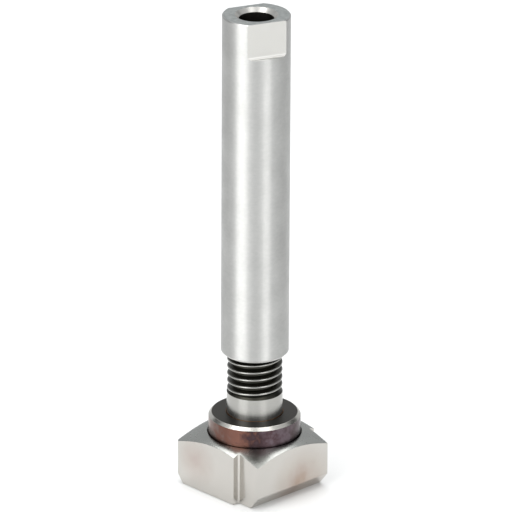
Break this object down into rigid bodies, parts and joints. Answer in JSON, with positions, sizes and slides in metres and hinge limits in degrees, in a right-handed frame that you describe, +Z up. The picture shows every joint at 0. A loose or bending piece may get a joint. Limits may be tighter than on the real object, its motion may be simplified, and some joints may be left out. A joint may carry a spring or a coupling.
{
  "type": "quick change tool post centre post",
  "caption": "Centre post of a lathe tool post: a T-head with a threaded stud and hardened collar, carrying a long ground steel post that screws down to clamp.",
  "frame": {"origin": "bottom centre of the T-head", "axes": "+Z up along the stud and the post; +X out of the head side that carries the two milled steps; +Y along that side"},
  "size_m": [0.036, 0.036, 0.1622],
  "materials": {
    "ground_steel": "satin",
    "turned_steel": "satin",
    "tempered_steel": "satin",
    "head_steel": "satin",
    "pin_steel": "satin"
  },
  "bodies": {
    "base": {"head": "head_steel", "stud": "turned_steel", "lock_pins": "pin_steel"},
    "collar": {"collar": "tempered_steel"},
    "post": {"post": "ground_steel"}
  },
  "joints": [
    {"name": "post_turn", "type": "hinge", "parent": "base", "child": "collar", "pos_m": [0, 0, 0.0154], "axis": [0, 0, 1], "range_deg": [-1890, 3330]},
    {"name": "post_rise", "type": "slide", "parent": "collar", "child": "post", "axis": [0, 0, 1], "range_m": [-0.0132, 0.0232]}
  ],
  "couplings": [
    {"joint": "post_rise", "follows": "post_turn", "m_per_rad": 0.00039789}
  ]
}
